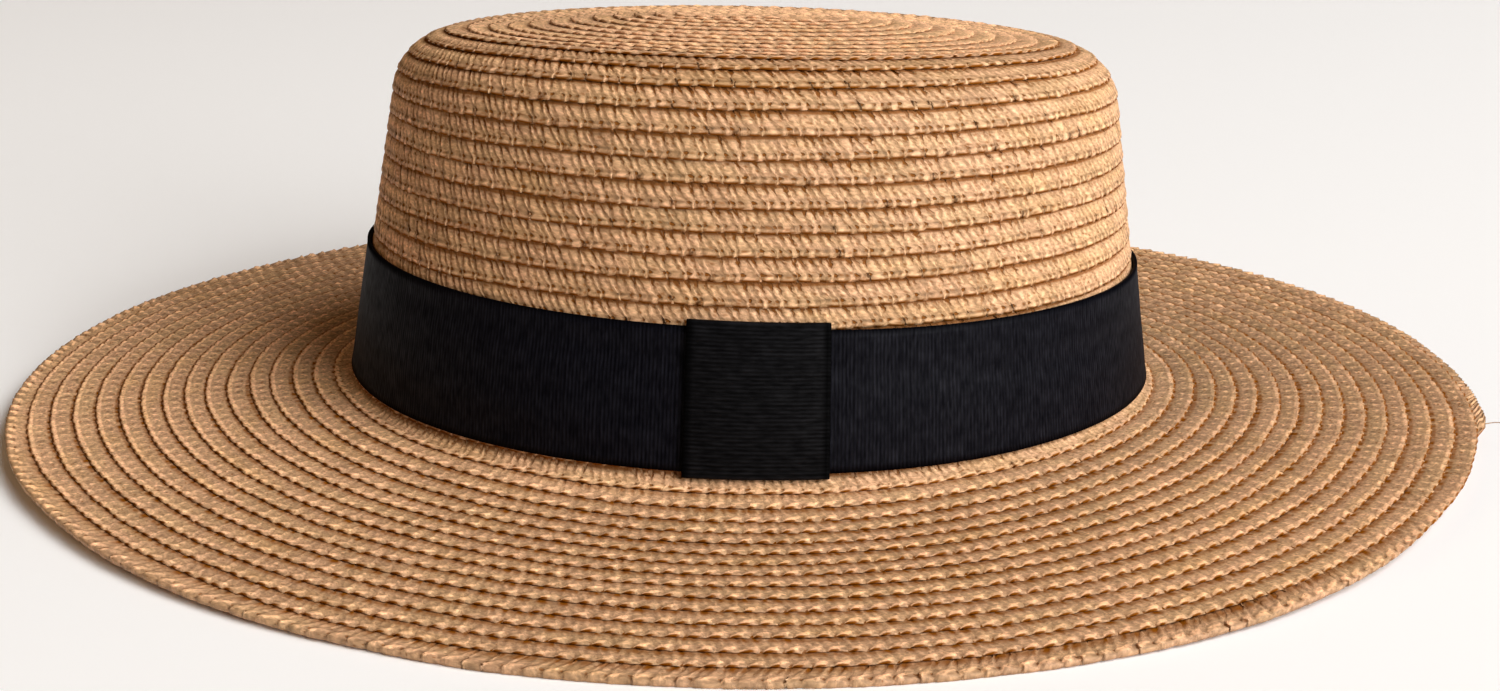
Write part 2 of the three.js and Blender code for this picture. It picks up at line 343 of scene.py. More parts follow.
def plait(number, v):
    """The plait at each numbered section and each v of the upper face: how open the nearest slot is, how
    light the strand is, its height, and how far it has shifted along the braid. A slot is each third section.
    It is sunk, and a strand slopes down from its high side, by the next slot, to its low side. Every second
    slot is narrower, they lean apart and together by turns, and here and there a stretch of them is nearly
    shut."""
    slot = np.round(number / 3)
    place = number % 3
    odd = slot % 2
    calm = 0.2 + 0.8 * ease(-0.85, -0.35, drift(number * STEP, 6.0, seed=7))
    strands = (0.5 + 0.5 * one_each(slot, seed=3)) * (1 - 0.25 * odd) * calm
    eye = ease(-0.2, 0.5, one_each(slot, seed=4)) * (1 - 0.4 * odd)
    opening = np.where(v < EYE_FROM, strands, eye)
    tone = np.broadcast_to(one_each(number // 3, seed=5), opening.shape)
    sunk = -np.interp(v, *SLOT_DEPTH) * opening
    height = np.where(place == 0, sunk, np.interp(v, *STRAND_SLOPE) * (2 * place - 3))
    lean = FAN * np.cos(math.pi * number / 3) + ASKEW * (one_each(slot, seed=6) - 0.5)
    astray = ASTRAY * (one_each(slot, seed=8) - 0.5)
    return opening, tone, height, np.interp(v, *SLOT_PATH) + lean * (v - MIDDLE_V) + astray


def painted_light_over_hat(phi, s, tip, brim):
    """Painted light and shade: how much paler the straw is painted than its own tone, from where it lies on
    the hat: a painted highlight in a ring beside the band, cosines round the tip, and cubed cosines round the
    brim, which are strong only in their own direction."""
    ring = FOOT_PALE * bell(s - JOIN_S - FOOT_PALE_AT, FOOT_PALE_WIDE)
    on_tip = TIP_SHADE * np.cos(phi) - TIP_ENDS * np.cos(phi) ** 2
    on_brim = BRIM_PALE * np.cos(phi - BRIM_PALE_PHI) ** 3 - BRIM_SHADE * np.cos(phi) ** 3
    return ring + tip * on_tip + brim * on_brim


def braid_sections(course, rows):
    """The braid's closed section at each of the rows: its corners in space, their marks, and four values
    there: the plait's opening, its tone with the painted light and shade over the hat added, how the row lies
    (1 on the side, 0 on the brim, -1 on the tip), and where it differs (1 at the brim's two ends, where the
    rows bend tightest and their loops stand open across the whole row, and -1 on the last row). A section
    follows a slot across the braid. Over the last END_RUN it turns aslant, so that the outer edge ends first,
    in a corner.
    The edge is scalloped by the slots, and its loops stand up and sink as a cosine whose period is two
    strands."""
    along, phi_at, lip_at, flat_at = course
    v = np.concatenate([UPPER_V, LOWER_V])[None, :]
    top = np.arange(v.size)[None, :] < UPPER_V.size
    number = rows[:, None]
    middle = along[rows, None]
    opening, tone, height, shift = plait(number, v)

    # How the row lies here, and the way its section takes across the braid.
    about = lip_at[rows, None] - (BRAID_WIDTH - v)
    tip = 1 - ease(*TIP_TO_SIDE, about)
    side = 1 - tip - ease(*SIDE_TO_BRIM, about)
    brim = 1 - side - tip
    ending = ease(along[-1] - END_RUN, along[-1], middle)
    ragged = END_RAG * one_each(np.round(v * 20), seed=11) * np.clip(ending * 20 - 19, 0, 1)
    flat_lean = FLAT_LEAN + (LAST_LEAN - FLAT_LEAN) * flat_at[rows, None]
    lean = flat_lean + (1 - flat_lean) * side
    u = middle + shift * lean * (1 - ending) - END_SLANT * v * ending - ragged
    phi, lip, flat = (np.interp(u, along, value) for value in (phi_at, lip_at, flat_at))
    ends = brim * np.cos(phi) ** 2
    # Painted highlight on the side where the light meets it squarely, with its plait shut smoother there.
    lit_side = LIT_SIDE * side * towards(phi, LIT_SIDE_PHI, LIT_SIDE_SPREAD)
    opened = side + (1 - side) * FLAT_OPEN * (1 + LAST_OPEN * flat) - LIT_SIDE_SHUT * lit_side

    # Its place on the hat.
    wander = sum(far * drift(u, every, seed) for far, every, seed in WANDER)
    wave = math.pi * number / 3
    notch = np.where(number % 3 == 0, -EDGE_CUT * opening, EDGE_FULL) - EDGE_FAN * np.cos(wave)
    far, every, seed = EDGE_STRAY
    scallop = (notch + far * drift(u, every, seed)) * ease(4.8, 6.4, v)
    s = lip + wander - (BRAID_WIDTH - v) * (1 + EDGE_WIDER * flat) + scallop
    point, normal = hat_frame(phi, s)

    # Its height: each row rises over the one below it, the last one less, and the plait stands on that.
    base = -BRAID_WIDTH * BRAID / PITCH + BRAID / PITCH * (1 - LAST_LOW * flat) * v
    lift = np.concatenate([UPPER_LIFT, LOWER_LIFT])[None, :] * np.where(top, 1.0, 1 + EDGE_THICK * flat)
    pressed = FLAT_PRESS + (SIDE_PRESS - FLAT_PRESS) * side
    reach = np.interp(v, *LOOP_REACH) * (1 - ends) + np.interp(v, *END_REACH) * ends
    stand = LOOP + LOOP_MORE * one_each((number - 5) // 6, seed=12)
    lower = 1 - LOOP_LOW[0] * side - LOOP_LOW[1] * ends
    loops = -stand * lower * np.cos(wave - LOOP_SLANT * (v - LOOP_V)) * reach
    shown = np.where(v > EDGE_FROM, 1 - SIDE_LOW * side, opened)
    relief = np.where(top, height * shown + loops, 0.0)
    corners = point + normal * ((base + lift) * pressed + relief)[..., None]

    girth = np.concatenate([UPPER_V, 2 * BRAID_WIDTH - LOWER_V, [2 * BRAID_WIDTH + 0.5]])[None, :]
    marks = np.stack(np.broadcast_arrays(middle, girth), -1)
    # The painted light and shade over the hat, and on the side's lit place, are added to the strand's own
    # tone.
    tone = tone + lit_side + painted_light_over_hat(phi, about, tip, brim)
    plaited = np.broadcast_arrays(opening * opened, tone, side - tip, ends * (1 - flat) - flat)
    return corners, marks, np.stack(plaited, -1)


def sewn(name, sections, marks, material, closed=False):
    """A mesh over closed sections, an array (steps, corners, 3) in millimetres. Each section is joined to the
    next by a ring of quads, and the two ends are closed with a face each, or joined to one another.
    The map "along" holds marks, in millimetres, with one more for each section, where it closes. "OFBake"
    lays the skin out in lanes of one length."""
    steps, count = sections.shape[:2]
    rings = steps if closed else steps - 1
    i, j = (grid.ravel() for grid in np.meshgrid(np.arange(rings), np.arange(count), indexing="ij"))
    i_next = (i + 1) % steps
    row = np.stack([i, i_next, i_next, i], 1)
    column = np.stack([j, j, j + 1, j + 1], 1)
    quads = row * count + column % count
    caps = [] if closed else [np.arange(count), (steps - 1) * count + np.arange(count)[::-1]]
    corners = np.concatenate([quads.ravel(), *caps])
    starts = np.concatenate([np.arange(len(quads)) * 4, len(quads) * 4 + count * np.arange(len(caps))])

    mesh = bpy.data.meshes.new(name)
    mesh.vertices.add(steps * count)
    mesh.vertices.foreach_set("co", (sections * MM).astype(np.float32).ravel())
    mesh.loops.add(len(corners))
    mesh.loops.foreach_set("vertex_index", corners.astype(np.int32))
    mesh.polygons.add(len(starts))
    mesh.polygons.foreach_set("loop_start", starts.astype(np.int32))
    mesh.update(calc_edges=True)
    mesh.polygons.foreach_set("use_smooth", np.arange(len(starts)) < len(quads))

    ends = [marks[0, :count], marks[-1, :count][::-1]][: len(caps)]
    along = np.concatenate([marks[row, column].reshape(-1, 2), *ends])
    mesh.uv_layers.new(name="along").uv.foreach_set("vector", along.astype(np.float32).ravel())

    girth = np.linalg.norm(np.diff(sections, axis=1, append=sections[:, :1]), axis=2).mean(0)
    share = np.concatenate([[0], np.cumsum(girth)]) / girth.sum()
    stride = np.linalg.norm(np.diff(sections, axis=0), axis=2).mean()
    lane = max(1, round(math.sqrt(rings * girth.sum() / stride)))
    lanes = math.ceil(rings / lane)
    x = np.stack([i % lane, i % lane + 1, i % lane + 1, i % lane], 1) / lane
    y = (i[:, None] // lane + share[column]) / lanes
    flat = np.concatenate([np.stack([x, y], -1).reshape(-1, 2), np.zeros((len(caps) * count, 2))])
    mesh.uv_layers.new(name="OFBake").uv.foreach_set("vector", flat.astype(np.float32).ravel())

    mesh.materials.append(material)
    piece = bpy.data.objects.new(name, mesh)
    bpy.context.scene.collection.objects.link(piece)
    return piece


def loose_thread(material):
    """The thread that hangs out of the corner of the braid's end: a thin round tube along a shallow S, which
    leaves the braid's outer edge outwards and tapers to half its thickness."""
    t = np.linspace(0, 1, 25)[:, None]
    turn = np.linspace(0, TURN, 7)[None, :-1]
    phi = END_PHI + END_SLANT * BRAID_WIDTH / (BASE_Y + BRIM_WIDTH) + 0.012 * np.sin(5 * t) * t
    point, normal = hat_frame(phi, EDGE_S - 1.5 + THREAD_LENGTH * t)
    point = point + normal * (-0.5 + 0.8 * np.sin(2.5 * t))[..., None]
    across = np.stack([-np.sin(phi), np.cos(phi), 0 * phi], -1)
    radius = THREAD_RADIUS * (1 - 0.5 * t)[..., None]
    sections = point + radius * (across * np.cos(turn)[..., None] + normal * np.sin(turn)[..., None])
    marks = np.stack(np.broadcast_arrays(THREAD_LENGTH * t, 2.5 + np.linspace(0, 1, 7)[None, :]), -1)
    return sewn("loose_thread", sections, marks, material)


def node(tree, kind, links=None, **settings):
    """Adds one node. settings are its own properties. links gives each input, by name or number, a value,
    another node's output, or another node, whose first output is meant."""
    made = tree.nodes.new(kind)
    for key, value in settings.items():
        setattr(made, key, value)
    for key, value in (links or {}).items():
        if isinstance(value, bpy.types.Node):
            value = value.outputs[0]
        if isinstance(value, bpy.types.NodeSocket):
            tree.links.new(value, made.inputs[key])
        else:
            made.inputs[key].default_value = value
    return made


def colour_stops(ramp_node, stops):
    """Gives a colour ramp its stops: pairs of a place from 0 to 1 and an sRGB hex colour."""
    ramp = ramp_node.color_ramp
    while len(ramp.elements) < len(stops):
        ramp.elements.new(0.5)
    for stop, (place, colour) in zip(ramp.elements, stops):
        stop.position = place
        stop.color = linear(colour)


def paper_straw():
    """Plaited paper straw: flat strips of twisted kraft paper, dyed tan and lightly sized. It is matt with a
    dull gleam along each strip, and no two strips are quite one colour. Shade is painted where the plait
    opens, in the groove under each row's edge and on that edge, and highlights are painted on the strands'
    crowns and on the rows' edges. Places across the braid are in millimetres of v."""
    material = bpy.data.materials.new("plaited_paper_straw")
    material.use_nodes = True
    material.node_tree.nodes.clear()
    add = partial(node, material.node_tree)
    smooth = {"interpolation_type": "SMOOTHSTEP"}

    # u runs along the braid and follows the slots across it. v runs across the upper face, and again across
    # the lower one from its outer edge.
    marks_uv = add("ShaderNodeUVMap", uv_map="along")
    marks = add("ShaderNodeSeparateXYZ", {0: marks_uv})
    u = marks.outputs[0]
    v = add("ShaderNodeMath", {0: marks.outputs[1], 1: BRAID_WIDTH + EDGE_TURN}, operation="MODULO")
    plait_data = add("ShaderNodeAttribute", attribute_name="plait")
    plaited = add("ShaderNodeSeparateXYZ", {0: plait_data.outputs["Vector"]})
    opening, tone, lie = plaited.outputs
    kind = plait_data.outputs["Alpha"]
    ends = add("ShaderNodeMath", {0: kind, 1: 0.0}, operation="MAXIMUM")
    not_last = add("ShaderNodeMapRange", {0: kind, 1: -1.0, 2: 0.0, 3: 0.0, 4: 1.0})
    side = add("ShaderNodeMath", {0: lie, 1: 0.0}, operation="MAXIMUM")
    on_tip = add("ShaderNodeMath", {0: lie, 1: 0.0}, operation="MINIMUM")

    # The strips are twisted by hand and feed, so every edge wavers by a few tenths of a millimetre.
    even_place = add("ShaderNodeCombineXYZ", {0: u, 1: v})
    waver_at = add("ShaderNodeMapping", {0: even_place, "Scale": (0.8, 0.9, 1.0)})
    waver = add("ShaderNodeTexNoise", {"Vector": waver_at, "Scale": 1.0, "Detail": 2.0})
    wavering = add("ShaderNodeMapRange", {0: waver, 3: -0.9, 4: 0.9})
    u = add("ShaderNodeMath", {0: u, 1: wavering}, operation="ADD")

    # Painted shade in a slot: a wedge, wide at the groove and narrow lower down.
    off_slot = add("ShaderNodeMath", {0: u, 1: STRAND / 2}, operation="PINGPONG")
    wide = add("ShaderNodeMapRange", {0: v, 1: 1.9, 2: 3.6, 3: 0.8, 4: 0.26})
    core = add("ShaderNodeMath", {0: wide, 1: 0.3}, operation="MULTIPLY")
    wedge = add("ShaderNodeMapRange", {0: off_slot, 1: core, 2: wide, 3: 1.0, 4: 0.0}, **smooth)
    slot_end = add("ShaderNodeMapRange", {0: tone, 3: 3.2, 4: 4.6})
    above = add("ShaderNodeMapRange", {0: v, 1: 2.4, 2: slot_end, 3: 1.0, 4: 0.0})
    strand_slot = add("ShaderNodeMath", {0: wedge, 1: above}, operation="MULTIPLY")

    # Painted shade in the eye below it, and in the soft dip on from there to the edge.
    off_eye = add("ShaderNodeMath", {0: v, 1: EYE_V}, operation="SUBTRACT")
    from_eye = add("ShaderNodeCombineXYZ", {0: off_slot, 1: off_eye})
    distance = add("ShaderNodeVectorMath", {0: from_eye}, operation="LENGTH").outputs["Value"]
    eye = add("ShaderNodeMapRange", {0: distance, 1: 0.15, 2: 0.65, 3: 1.0, 4: 0.0}, **smooth)
    dip = add("ShaderNodeMapRange", {0: off_slot, 1: 0.0, 2: 0.6, 3: 0.4, 4: 0.0}, **smooth)
    below = add("ShaderNodeMapRange", {0: v, 1: 5.0, 2: 5.4, 3: 0.0, 4: 1.0}, **smooth)
    edge_slot = add("ShaderNodeMath", {0: dip, 1: below}, operation="MULTIPLY")
    lower = add("ShaderNodeMath", {0: eye, 1: edge_slot}, operation="MAXIMUM")
    either = add("ShaderNodeMath", {0: strand_slot, 1: lower}, operation="MAXIMUM")
    open_here = add("ShaderNodeMath", {0: either, 1: opening}, operation="MULTIPLY")
    shaded_gap = add("ShaderNodeMapRange", {0: open_here, 1: 0.12, 2: 0.7, 3: 0.0, 4: 0.85}, **smooth)

    # Painted shade in small holes here and there, where a strip is bent over its neighbour: larger on the
    # side and where the brim's rows bend tightest.
    hole_at = add("ShaderNodeMapping", {0: marks_uv, "Scale": (0.6, 0.75, 1.0)})
    cells = add("ShaderNodeTexVoronoi", {"Vector": hole_at, "Scale": 1.0})
    holed = add("ShaderNodeMath", {0: ends, 1: 0.8, 2: side}, operation="MULTIPLY_ADD")
    hole_size = add("ShaderNodeMapRange", {0: holed, 3: 0.16, 4: 0.36})
    shaded_hole = add("ShaderNodeMapRange", {0: cells, 1: 0.05, 2: hole_size, 3: 0.65, 4: 0.0}, **smooth)

    # Painted shade in the groove under the edge of the row above: even on the side, in blotches where the
    # rows lie flat.
    spot_at = add("ShaderNodeCombineXYZ", {0: u, 1: 0.0})
    spots = add("ShaderNodeTexNoise", {"Vector": spot_at, "Scale": 0.45, "Detail": 1.0})
    blotch = add("ShaderNodeMapRange", {0: spots, 1: 0.35, 2: 0.6, 3: 0.1, 4: 1.0})
    even = add("ShaderNodeMath", {0: side, 1: 0.75}, operation="MULTIPLY")
    flat_blotch = add("ShaderNodeMath", {0: side, 1: -0.7, 2: blotch}, operation="MULTIPLY_ADD")
    groove_shade_depth = add("ShaderNodeMath", {0: even, 1: flat_blotch}, operation="MAXIMUM")
    fainter = add("ShaderNodeMath", {0: on_tip, 1: 0.6, 2: groove_shade_depth}, operation="MULTIPLY_ADD")
    off_groove = add("ShaderNodeMath", {0: ends, 1: 0.9, 2: side}, operation="MULTIPLY_ADD")
    groove_shade_end = add("ShaderNodeMapRange", {0: off_groove, 3: 3.9, 4: 2.2})
    groove_shade = add("ShaderNodeMapRange", {0: v, 1: 1.75, 2: groove_shade_end, 3: fainter, 4: 0.0}, **smooth)

    # Painted shadow on the row's own edge face, dark under the middle of each loop, but little on the tip and
    # on the last row.
    loop_at = add("ShaderNodeMath", {0: v, 1: -0.8, 2: u}, operation="MULTIPLY_ADD")
    loop = add("ShaderNodeMath", {0: loop_at, 1: STRAND}, operation="PINGPONG")
    loop_shadow_most = add("ShaderNodeMath", {0: on_tip, 1: 0.8, 2: not_last}, operation="MULTIPLY_ADD")
    loop_shadow = add("ShaderNodeMapRange", {0: loop, 1: 0.5, 2: 1.5, 3: 0.0, 4: loop_shadow_most}, **smooth)
    edge_face_shadow = add("ShaderNodeMapRange", {0: v, 1: 5.8, 2: 6.4, 3: 0.0, 4: loop_shadow}, **smooth)
    # All the painted shade together: groove, edge faces, holes and gaps.
    crevice_shade = add("ShaderNodeMath", {0: groove_shade, 1: edge_face_shadow}, operation="MAXIMUM")
    plait_gap_shade = add("ShaderNodeMath", {0: shaded_hole, 1: shaded_gap}, operation="MAXIMUM")
    painted_shade = add("ShaderNodeMath", {0: crevice_shade, 1: plait_gap_shade}, operation="MAXIMUM")

    # Painted highlight: a strand is palest along its crown, where its crest catches the light.
    strand_at = add("ShaderNodeMath", {0: u, 1: STRAND}, operation="DIVIDE")
    part = add("ShaderNodeMath", {0: strand_at}, operation="FRACT")
    off_crown = add("ShaderNodeMath", {0: part, 1: 0.55}, operation="SUBTRACT")
    from_crown = add("ShaderNodeMath", {0: off_crown}, operation="ABSOLUTE")
    crown = add("ShaderNodeMapRange", {0: from_crown, 1: 0.05, 2: 0.32, 3: 1.0, 4: 0.0}, **smooth)
    off_row = add("ShaderNodeMath", {0: v, 1: 3.5}, operation="SUBTRACT")
    from_row = add("ShaderNodeMath", {0: off_row}, operation="ABSOLUTE")
    row = add("ShaderNodeMapRange", {0: from_row, 1: 0.3, 2: 1.5, 3: 1.0, 4: 0.0}, **smooth)
    crest_highlight = add("ShaderNodeMath", {0: crown, 1: row}, operation="MULTIPLY")

    # The row's edge gets a painted highlight too: in bars on the loops of tip and brim, in blobs between the
    # slots on the side. At the brim's two ends the bars are narrower and go on across the row as rungs.
    side_lip = add("ShaderNodeMapRange", {0: side, 3: 5.4, 4: 5.8})
    lip_at = add("ShaderNodeMath", {0: ends, 1: 0.4, 2: side_lip}, operation="MULTIPLY_ADD")
    off_lip = add("ShaderNodeMath", {0: v, 1: lip_at}, operation="SUBTRACT")
    from_lip = add("ShaderNodeMath", {0: off_lip}, operation="ABSOLUTE")
    between = add("ShaderNodeMapRange", {0: ends, 3: -0.15, 4: 0.3})
    most = add("ShaderNodeMapRange", {0: ends, 3: 0.8, 4: 0.6})
    loop_highlight = add("ShaderNodeMapRange", {0: loop, 1: 0.4, 2: 1.5, 3: between, 4: most}, **smooth)
    blob_highlight = add("ShaderNodeMapRange", {0: off_slot, 1: 0.3, 2: 0.9, 3: -0.15, 4: 0.27}, **smooth)
    bar_highlight = add("ShaderNodeMix", {0: side, 2: loop_highlight, 3: blob_highlight})
    bar_most = add("ShaderNodeMapRange", {0: tone, 3: 0.4, 4: 1.6})
    on_tip_less = add("ShaderNodeMapRange", {0: lie, 1: -1.0, 2: 0.0, 3: 0.4, 4: bar_most})
    lip_highlight = add("ShaderNodeMath", {0: bar_highlight, 1: on_tip_less}, operation="MULTIPLY")
    lip_wide = add("ShaderNodeMapRange", {0: ends, 3: 1.3, 4: 0.8})
    elsewhere = add("ShaderNodeMapRange", {0: ends, 3: -0.1, 4: 0.0})
    lip_range = {0: from_lip, 1: 0.3, 2: lip_wide, 3: lip_highlight, 4: elsewhere}
    lip = add("ShaderNodeMapRange", lip_range, **smooth)
    rung_highlight = add("ShaderNodeMapRange", {0: loop, 1: 0.9, 2: 1.8, 3: -0.4, 4: 0.9}, **smooth)
    crest_highlight_most = add("ShaderNodeMapRange", {0: lie, 1: 0.0, 2: 1.0, 3: 0.3, 4: 0.5})
    crest_highlight_strength = add("ShaderNodeMix", {0: ends, 2: crest_highlight_most, 3: rung_highlight})
    painted_highlights = add("ShaderNodeMath", {0: crest_highlight, 1: crest_highlight_strength, 2: lip}, operation="MULTIPLY_ADD")

    # On the side a faint dark seam joins the eyes.
    beside_eye = add("ShaderNodeMath", {0: off_eye}, operation="ABSOLUTE")
    seam = add("ShaderNodeMapRange", {0: beside_eye, 1: 0.1, 2: 0.55, 3: -0.25, 4: 0.0}, **smooth)
    pale = add("ShaderNodeMath", {0: seam, 1: side, 2: painted_highlights}, operation="MULTIPLY_ADD")

    # Fine creases along the twisted strips: 0.4 mm apart, where the real ones are about 0.15 mm.
    crease_u = add("ShaderNodeMath", {0: u, 1: 2.4}, operation="MULTIPLY")
    crease_at = add("ShaderNodeCombineXYZ", {0: crease_u, 1: v})
    creases = add("ShaderNodeTexNoise", {"Vector": crease_at, "Scale": 1.0, "Detail": 2.0})

    # Colour: strips that are yellower, pinker, greener or browner, each lighter or darker than the next, with
    # the fine shade of their creases and larger mottles.
    place = add("ShaderNodeCombineXYZ", {0: u, 1: v})
    patch_at = add("ShaderNodeMapping", {0: place, "Scale": (0.04, 0.1, 1.0)})
    patches = add("ShaderNodeTexNoise", {"Vector": patch_at, "Scale": 1.0, "Detail": 3.0})
    tones = add("ShaderNodeValToRGB", {0: patches})
    tans = ((0.3, "#C89D71"), (0.42, "#CBA078"), (0.5, "#CC9F7A"), (0.6, "#CBA178"), (0.7, "#C69E75"))
    colour_stops(tones, tans)
    lightness = add("ShaderNodeMath", {0: tone, 1: 0.26, 2: 0.77}, operation="MULTIPLY_ADD")
    grain = add("ShaderNodeMapRange", {0: creases, 1: 0.3, 2: 0.7, 3: 0.78, 4: 1.12})
    paler = add("ShaderNodeMath", {0: pale, 1: lightness}, operation="ADD")
    mottle_at = add("ShaderNodeMapping", {0: marks_uv, "Scale": (1.1, 1.5, 1.0)})
    blobs = add("ShaderNodeTexNoise", {"Vector": mottle_at, "Scale": 1.0, "Detail": 2.0})
    mottle = add("ShaderNodeMapRange", {0: blobs, 1: 0.3, 2: 0.7, 3: 0.68, 4: 1.28})
    mottled = add("ShaderNodeMath", {0: grain, 1: mottle}, operation="MULTIPLY")
    # Painted light: the tip is painted up to 1.6 times lighter than the rest.
    tip_painted_light = add("ShaderNodeMapRange", {0: lie, 1: -1.0, 2: 0.0, 3: 1.6, 4: 1.0})
    lit = add("ShaderNodeMath", {0: paler, 1: tip_painted_light}, operation="MULTIPLY")
    shade = add("ShaderNodeMath", {0: lit, 1: mottled}, operation="MULTIPLY")

    # Where a strip is darker, from its own tone and from painted light and shade, it is painted browner, as
    # bounced
    # light in shade is: less green and blue comes back from it. The painted shade is brown.
    shade_browned_most = add("ShaderNodeMapRange", {0: side, 3: 0.35, 4: 1.0})
    shade_browned = add("ShaderNodeMapRange", {0: shade, 1: 0.55, 2: 1.2, 3: shade_browned_most, 4: 0.0})
    tints = {"Factor": shade_browned, 6: (1.0, 1.0, 1.0, 1.0), 7: (1.0, 0.95, 0.82, 1.0)}
    tint = add("ShaderNodeMix", tints, data_type="RGBA").outputs[2]
    tinted = add("ShaderNodeVectorMath", {0: tones, 1: tint}, operation="MULTIPLY")
    strip = add("ShaderNodeVectorMath", {0: tinted, "Scale": shade}, operation="SCALE")
    shade_brown = {"Factor": painted_shade, 6: strip, 7: linear("#844A10")}
    mixed = add("ShaderNodeMix", shade_brown, data_type="RGBA").outputs[2]

    # Relief that is finer than the mesh: the gaps sink a quarter of a millimetre, and the creases stand a
    # tenth high.
    sunk = add("ShaderNodeMath", {0: shaded_gap, 1: -0.3}, operation="MULTIPLY")
    height = add("ShaderNodeMath", {0: creases, 1: 0.12, 2: sunk}, operation="MULTIPLY_ADD")
    bump = add("ShaderNodeBump", {"Strength": 1.0, "Distance": MM, "Height": height})

    gleam = add("ShaderNodeMapRange", {0: painted_shade, 3: 0.3, 4: 0.0})
    finish = {"Base Color": mixed, "Roughness": 0.6, "IOR": 1.45, "Specular IOR Level": gleam, "Normal": bump}
    shader = add("ShaderNodeBsdfPrincipled", finish)
    add("ShaderNodeOutputMaterial", {0: shader})
    return material


def grosgrain(name, valley, crest):
    """Black polyester grosgrain ribbon, woven: a fine warp packed over thick weft cords, which are in the
    mesh. It is cloudy where the warp lies unevenly and has a low satin gleam. Shade is painted between the
    cords and a highlight on their crests, and both selvedges are painted darker and without gleam, as painted
    shade at the ribbon's edges."""
    material = bpy.data.materials.new(name)
    material.use_nodes = True
    material.node_tree.nodes.clear()
    add = partial(node, material.node_tree)

    # The map runs along the ribbon and across it, from its middle. Streaks lie along the cords, clouds over
    # several of them.
    marks = add("ShaderNodeUVMap", uv_map="along")
    ways = add("ShaderNodeSeparateXYZ", {0: marks})
    along, across = ways.outputs[0], ways.outputs[1]
    streak_at = add("ShaderNodeMapping", {0: marks, "Scale": (1.3, 0.28, 1.0)})
    streaks = add("ShaderNodeTexNoise", {"Vector": streak_at, "Scale": 1.0, "Detail": 2.0})
    cloud_at = add("ShaderNodeMapping", {0: marks, "Scale": (0.12, 0.3, 1.0)})
    cloud = add("ShaderNodeTexNoise", {"Vector": cloud_at, "Scale": 1.0, "Detail": 3.0})
    # Painted shade between the cords and a painted highlight on their crests, over the mesh's own cords.
    from_valley = add("ShaderNodeMath", {0: along, 1: CORD / 2}, operation="PINGPONG")
    painted_cord_light = add("ShaderNodeMapRange", {0: from_valley, 1: 0.0, 2: CORD / 2, 3: 0.1, 4: 0.9})
    clouds = add("ShaderNodeMapRange", {0: cloud, 1: 0.3, 2: 0.7, 3: 0.6, 4: 0.95})
    grain = add("ShaderNodeMapRange", {0: streaks, 1: 0.35, 2: 0.65, 3: 0.55, 4: 1.35})
    shade = add("ShaderNodeMath", {0: clouds, 1: grain}, operation="MULTIPLY")
    # Painted shade along both selvedges: darker and without gleam, standing in for the shadow at the ribbon's
    # edges.
    from_middle = add("ShaderNodeMath", {0: across}, operation="ABSOLUTE")
    edge_shaded = add("ShaderNodeMapRange", {0: from_middle, 1: SELVEDGE, 2: SELVEDGE_END, 3: 1.0, 4: 0.3})
    shown = add("ShaderNodeMath", {0: shade, 1: edge_shaded}, operation="MULTIPLY")
    factor = add("ShaderNodeMath", {0: shown, 1: painted_cord_light}, operation="MULTIPLY")
    blacks = {"Factor": factor, 6: linear(valley), 7: linear(crest)}
    colour = add("ShaderNodeMix", blacks, data_type="RGBA").outputs[2]
    gleam = add("ShaderNodeMath", {0: shown, 1: 0.06}, operation="MULTIPLY")
    bump = add("ShaderNodeBump", {"Strength": 0.5, "Distance": 0.1 * MM, "Height": streaks})
    finish = {"Base Color": colour, "Roughness": 0.5, "IOR": 1.5, "Specular IOR Level": gleam, "Normal": bump}
    shader = add("ShaderNodeBsdfPrincipled", finish)
    add("ShaderNodeOutputMaterial", {0: shader})
    return material


def side_frame(phi, height):
    """Point and normal of the crown's side at a height above its foot, as if it ran on straight down."""
    s = JOIN_S - (JOIN_S - CORNER_S) * height / SIDE_HEIGHT
    phi, s = np.broadcast_arrays(phi, s)
    return side_point(phi, s), outward(side_point, phi, s)


def band_height(phi, step):
    """Height above the foot of a place on the band: step runs from 0 at its lower edge to 1 at its upper."""
    return BAND_FOOT + (RIBBON_WIDTH - BAND_TILT * np.cos(phi)) * step


def oval_course(middle, step, length=math.inf):
    """Places at even steps along the band's oval, and their phi, over length or once round, with middle in
    the middle of it."""
    phi = np.linspace(middle - math.pi, middle + math.pi, 7200)
    way = travelled(side_frame(phi, BAND_MIDDLE)[0])
    way = way - np.interp(middle, phi, way)
    half = min(length / 2, -way[0])
    at = np.linspace(-half, half, round(2 * half / step) + 1)
    return at, np.interp(at, way, phi)


